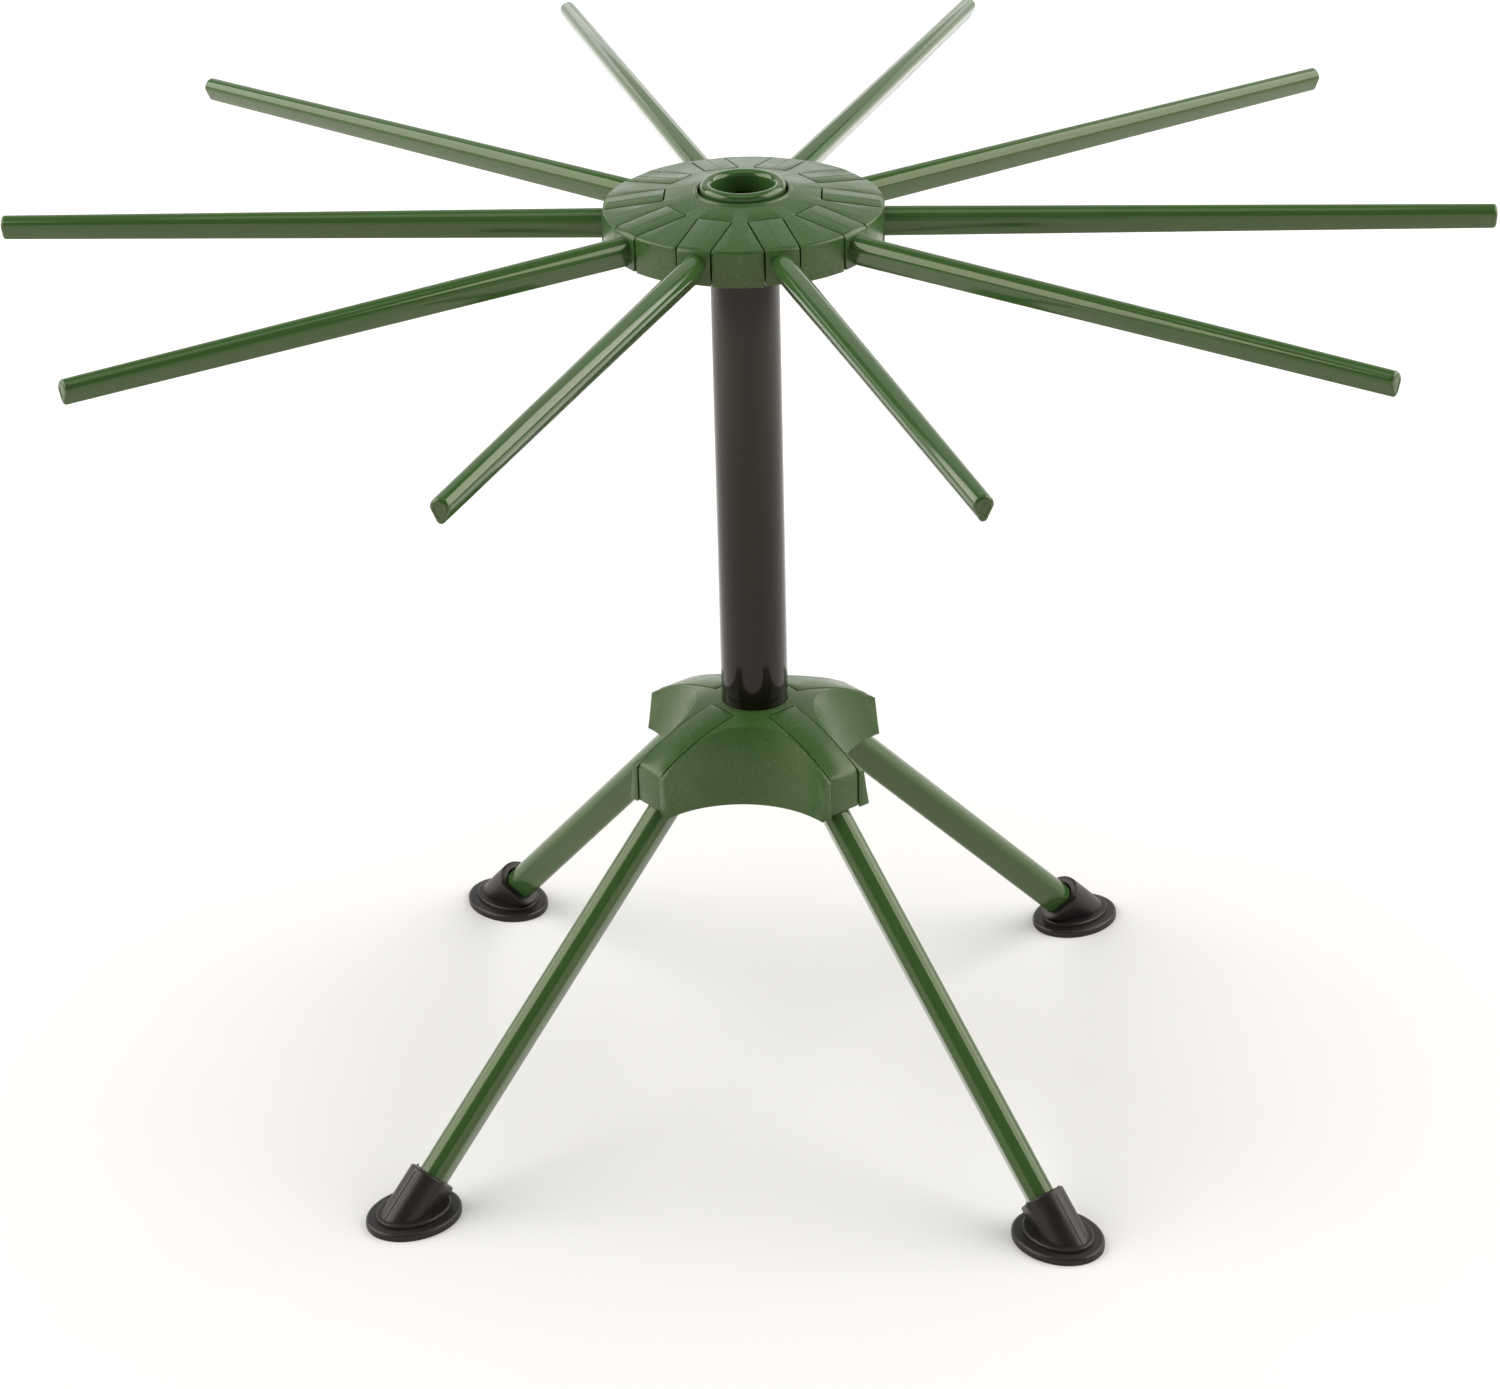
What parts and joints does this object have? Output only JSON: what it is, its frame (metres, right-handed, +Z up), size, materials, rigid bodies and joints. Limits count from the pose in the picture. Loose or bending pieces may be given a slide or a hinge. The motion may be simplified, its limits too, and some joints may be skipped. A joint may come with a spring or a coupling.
{
  "type": "pasta drying rack",
  "caption": "Free-standing pasta drying rack: round hub with radiating folding arms on a plain column, star-shaped base and splayed folding legs with rubber feet.",
  "frame": {"origin": "on the surface that the rack stands on, under the column's axis", "axes": "+Z up along the column; the legs stand on the diagonals between X and Y; the picture was taken from about -Y"},
  "size_m": [0.4396, 0.4268, 0.3],
  "materials": {
    "green_plastic": "dark green moulded plastic, semi-gloss",
    "collar_plastic": "dark green moulded plastic, semi-gloss",
    "dark_tube": "near-black, glossy",
    "plain_plastic": "black, plain",
    "screw_steel": "zinc-plated steel",
    "foot_rubber": "black rubber, satin"
  },
  "bodies": {
    "stand": {"hub_cover": "green_plastic", "hub_retainer": "green_plastic", "hub_screws": "screw_steel", "top_collar": "collar_plastic", "column": "dark_tube", "column_plug": "plain_plastic", "column_screw": "screw_steel", "base_housing": "green_plastic", "base_plate": "green_plastic", "base_screws": "screw_steel"},
    "arm_01": {"arm_01": "green_plastic"},
    "arm_02": {"arm_02": "green_plastic"},
    "arm_03": {"arm_03": "green_plastic"},
    "arm_04": {"arm_04": "green_plastic"},
    "arm_05": {"arm_05": "green_plastic"},
    "arm_06": {"arm_06": "green_plastic"},
    "arm_07": {"arm_07": "green_plastic"},
    "arm_08": {"arm_08": "green_plastic"},
    "arm_09": {"arm_09": "green_plastic"},
    "arm_10": {"arm_10": "green_plastic"},
    "leg_1": {"leg_1": "green_plastic", "foot_1": "foot_rubber"},
    "leg_2": {"leg_2": "green_plastic", "foot_2": "foot_rubber"},
    "leg_3": {"leg_3": "green_plastic", "foot_3": "foot_rubber"},
    "leg_4": {"leg_4": "green_plastic", "foot_4": "foot_rubber"}
  },
  "joints": [
    {"name": "arm_01_fold", "type": "hinge", "parent": "stand", "child": "arm_01", "pos_m": [0.03125, 0.0018, 0.28849], "axis": [-0.0576, 0.9983, 0], "range_deg": [0, 80]},
    {"name": "arm_02_fold", "type": "hinge", "parent": "stand", "child": "arm_02", "pos_m": [0.02422, 0.01982, 0.28849], "axis": [-0.6334, 0.7738, 0], "range_deg": [0, 80]},
    {"name": "arm_03_fold", "type": "hinge", "parent": "stand", "child": "arm_03", "pos_m": [0.00794, 0.03027, 0.28849], "axis": [-0.9673, 0.2538, 0], "range_deg": [0, 80]},
    {"name": "arm_04_fold", "type": "hinge", "parent": "stand", "child": "arm_04", "pos_m": [-0.01137, 0.02916, 0.28849], "axis": [-0.9317, -0.3633, 0], "range_deg": [0, 80]},
    {"name": "arm_05_fold", "type": "hinge", "parent": "stand", "child": "arm_05", "pos_m": [-0.02634, 0.01691, 0.28849], "axis": [-0.5402, -0.8415, 0], "range_deg": [0, 80]},
    {"name": "arm_06_fold", "type": "hinge", "parent": "stand", "child": "arm_06", "pos_m": [-0.03125, -0.0018, 0.28849], "axis": [0.0576, -0.9983, 0], "range_deg": [0, 80]},
    {"name": "arm_07_fold", "type": "hinge", "parent": "stand", "child": "arm_07", "pos_m": [-0.02422, -0.01982, 0.28849], "axis": [0.6334, -0.7738, 0], "range_deg": [0, 80]},
    {"name": "arm_08_fold", "type": "hinge", "parent": "stand", "child": "arm_08", "pos_m": [-0.00794, -0.03027, 0.28849], "axis": [0.9673, -0.2538, 0], "range_deg": [0, 80]},
    {"name": "arm_09_fold", "type": "hinge", "parent": "stand", "child": "arm_09", "pos_m": [0.01137, -0.02916, 0.28849], "axis": [0.9317, 0.3633, 0], "range_deg": [0, 80]},
    {"name": "arm_10_fold", "type": "hinge", "parent": "stand", "child": "arm_10", "pos_m": [0.02634, -0.01691, 0.28849], "axis": [0.5402, 0.8415, 0], "range_deg": [0, 80]},
    {"name": "leg_1_fold", "type": "hinge", "parent": "stand", "child": "leg_1", "pos_m": [0.01485, 0.01485, 0.12049], "axis": [-0.7071, 0.7071, 0], "range_deg": [0, 45]},
    {"name": "leg_2_fold", "type": "hinge", "parent": "stand", "child": "leg_2", "pos_m": [-0.01485, 0.01485, 0.12049], "axis": [-0.7071, -0.7071, 0], "range_deg": [0, 45]},
    {"name": "leg_3_fold", "type": "hinge", "parent": "stand", "child": "leg_3", "pos_m": [-0.01485, -0.01485, 0.12049], "axis": [0.7071, -0.7071, 0], "range_deg": [0, 45]},
    {"name": "leg_4_fold", "type": "hinge", "parent": "stand", "child": "leg_4", "pos_m": [0.01485, -0.01485, 0.12049], "axis": [0.7071, 0.7071, 0], "range_deg": [0, 45]}
  ]
}
